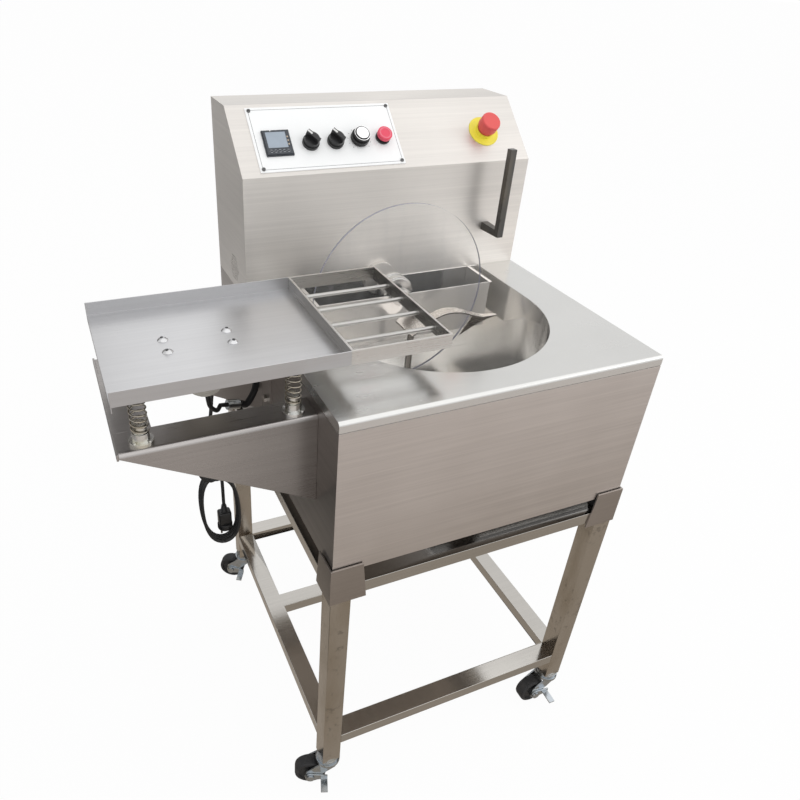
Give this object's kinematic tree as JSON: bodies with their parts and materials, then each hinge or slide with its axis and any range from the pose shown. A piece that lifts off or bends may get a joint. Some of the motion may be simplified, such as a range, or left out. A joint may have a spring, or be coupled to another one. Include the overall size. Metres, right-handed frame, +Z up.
{
  "type": "chocolate melting and moulding machine",
  "caption": "Stainless chocolate melting tank with a clear turning wheel, a sprung vibrating mould table, a rear control housing and a stand on swivel casters.",
  "frame": {"origin": "on the floor, under the middle of the outline", "axes": "+Z up, +X to the right as the operator faces the machine, +Y to the back"},
  "size_m": [0.846, 0.6678, 1.1845],
  "materials": {
    "polished_steel": "polished stainless sheet and tube",
    "brushed_steel": "brushed stainless sheet",
    "bright_steel": "bright turned steel",
    "zinc": "bright zinc plate",
    "black_tyre": "black rubber tread",
    "black_rubber": "matte black cable jacket",
    "black_plastic": "matte black plastic",
    "window": "pale grey-blue display",
    "pale_plate": "plain pale plate",
    "red_plastic": "glossy red",
    "yellow_plastic": "plain yellow",
    "motor_paint": "beige paint",
    "gear_paint": "grey-blue paint",
    "dark_bar": "dark grey bar",
    "clear": "clear plastic, greyish at the rim",
    "heater": "brown silicone heating mat"
  },
  "bodies": {
    "frame": {"stand_legs": "polished_steel", "stand_rails": "polished_steel", "corner_plates": "brushed_steel", "rubber_feet": "black_rubber", "caster_heads": "zinc", "cabinet_shell": "brushed_steel", "bottom_plate": "brushed_steel", "top_deck": "polished_steel", "tank": "polished_steel", "hub_box": "polished_steel", "heater_mats": "heater", "tank_probe": "bright_steel", "housing_shell": "brushed_steel", "back_cover": "brushed_steel", "case_screws": "bright_steel", "control_plate": "pale_plate", "controller_case": "black_plastic", "controller_window": "window", "operator_bezels": "black_plastic", "estop_disc": "yellow_plastic", "gear_motor": "gear_paint", "motor_bracket": "brushed_steel", "shaft_bearing": "bright_steel", "bar_bush": "black_plastic", "front_arm": "brushed_steel", "rear_arm": "brushed_steel", "arm_strip": "brushed_steel", "arm_bolts": "bright_steel", "spring_seats": "bright_steel", "cable_glands": "bright_steel", "motor_lead": "black_rubber", "scraper": "polished_steel", "power_cord": "black_rubber", "power_plug": "black_plastic"},
    "wheel": {"wheel_disc": "clear", "wheel_hub": "bright_steel", "hub_bolts": "bright_steel"},
    "table": {"tray_pan": "brushed_steel", "grille": "brushed_steel", "springs": "bright_steel", "vibration_motor": "motor_paint", "tray_bolts": "bright_steel"},
    "bar": {"l_bar": "dark_bar"},
    "left_selector": {"selector_left": "black_plastic"},
    "right_selector": {"selector_right": "black_plastic"},
    "dial": {"dial_knob": "black_plastic"},
    "start_button": {"red_button": "red_plastic"},
    "stop_button": {"estop_head": "red_plastic"},
    "swivel_fl": {"fork_fl": "zinc"},
    "roller_fl": {"roll_fl": "black_tyre"},
    "lever_fl": {"brake_fl": "zinc"},
    "swivel_fr": {"fork_fr": "zinc"},
    "roller_fr": {"roll_fr": "black_tyre"},
    "lever_fr": {"brake_fr": "zinc"},
    "swivel_bl": {"fork_bl": "zinc"},
    "roller_bl": {"roll_bl": "black_tyre"},
    "lever_bl": {"brake_bl": "zinc"},
    "swivel_br": {"fork_br": "zinc"},
    "roller_br": {"roll_br": "black_tyre"},
    "lever_br": {"brake_br": "zinc"}
  },
  "joints": [
    {"name": "wheel_turn", "type": "hinge", "parent": "frame", "child": "wheel", "pos_m": [0.1145, 0.03025, 0.888], "axis": [0, 1, 0], "continuous": true},
    {"name": "table_bounce", "type": "slide", "parent": "frame", "child": "table", "axis": [0, 0, 1], "range_m": [-0.003, 0.003], "stiffness_N_per_m": 20000, "springref_m": 0.00226, "deforming": ["springs"]},
    {"name": "bar_swing", "type": "hinge", "parent": "frame", "child": "bar", "pos_m": [0.3375, 0.12205, 0.9685], "axis": [0, 1, 0], "range_deg": [-90, 0]},
    {"name": "left_selector_turn", "type": "hinge", "parent": "frame", "child": "left_selector", "pos_m": [-0.013, 0.16395, 1.12988], "axis": [0, -0.6849, 0.7286], "range_deg": [-80, 0]},
    {"name": "right_selector_turn", "type": "hinge", "parent": "frame", "child": "right_selector", "pos_m": [0.0325, 0.16395, 1.12988], "axis": [0, -0.6849, 0.7286], "range_deg": [-80, 0]},
    {"name": "dial_turn", "type": "hinge", "parent": "frame", "child": "dial", "pos_m": [0.0785, 0.16577, 1.13159], "axis": [0, -0.6849, 0.7286], "range_deg": [-135, 135]},
    {"name": "start_press", "type": "slide", "parent": "frame", "child": "start_button", "axis": [0, 0.6849, -0.7286], "range_m": [0, 0.0035], "stiffness_N_per_m": 300, "springref_m": -0.004},
    {"name": "stop_press", "type": "slide", "parent": "frame", "child": "stop_button", "axis": [0, 0.6849, -0.7286], "range_m": [0, 0.005], "stiffness_N_per_m": 300, "springref_m": -0.004},
    {"name": "swivel_turn_fl", "type": "hinge", "parent": "frame", "child": "swivel_fl", "pos_m": [-0.129, -0.28745, 0.031], "axis": [0, 0, 1], "continuous": true},
    {"name": "roll_turn_fl", "type": "hinge", "parent": "swivel_fl", "child": "roller_fl", "pos_m": [-0.16095, -0.27582, 0.031], "axis": [0.342, 0.9397, 0], "continuous": true},
    {"name": "brake_tip_fl", "type": "hinge", "parent": "swivel_fl", "child": "lever_fl", "pos_m": [-0.16095, -0.27582, 0.031], "axis": [0.342, 0.9397, 0], "range_deg": [0, 25]},
    {"name": "swivel_turn_fr", "type": "hinge", "parent": "frame", "child": "swivel_fr", "pos_m": [0.399, -0.28745, 0.031], "axis": [0, 0, 1], "continuous": true},
    {"name": "roll_turn_fr", "type": "hinge", "parent": "swivel_fr", "child": "roller_fr", "pos_m": [0.365, -0.28745, 0.031], "axis": [0, 1, 0], "continuous": true},
    {"name": "brake_tip_fr", "type": "hinge", "parent": "swivel_fr", "child": "lever_fr", "pos_m": [0.365, -0.28745, 0.031], "axis": [0, 1, 0], "range_deg": [0, 25]},
    {"name": "swivel_turn_bl", "type": "hinge", "parent": "frame", "child": "swivel_bl", "pos_m": [-0.129, 0.29255, 0.031], "axis": [0, 0, 1], "continuous": true},
    {"name": "roll_turn_bl", "type": "hinge", "parent": "swivel_bl", "child": "roller_bl", "pos_m": [-0.15845, 0.30955, 0.031], "axis": [0.5, 0.866, 0], "continuous": true},
    {"name": "brake_tip_bl", "type": "hinge", "parent": "swivel_bl", "child": "lever_bl", "pos_m": [-0.15845, 0.30955, 0.031], "axis": [0.5, 0.866, 0], "range_deg": [0, 25]},
    {"name": "swivel_turn_br", "type": "hinge", "parent": "frame", "child": "swivel_br", "pos_m": [0.399, 0.29255, 0.031], "axis": [0, 0, 1], "continuous": true},
    {"name": "roll_turn_br", "type": "hinge", "parent": "swivel_br", "child": "roller_br", "pos_m": [0.365, 0.29255, 0.031], "axis": [0, 1, 0], "continuous": true},
    {"name": "brake_tip_br", "type": "hinge", "parent": "swivel_br", "child": "lever_br", "pos_m": [0.365, 0.29255, 0.031], "axis": [0, 1, 0], "range_deg": [0, 25]}
  ]
}
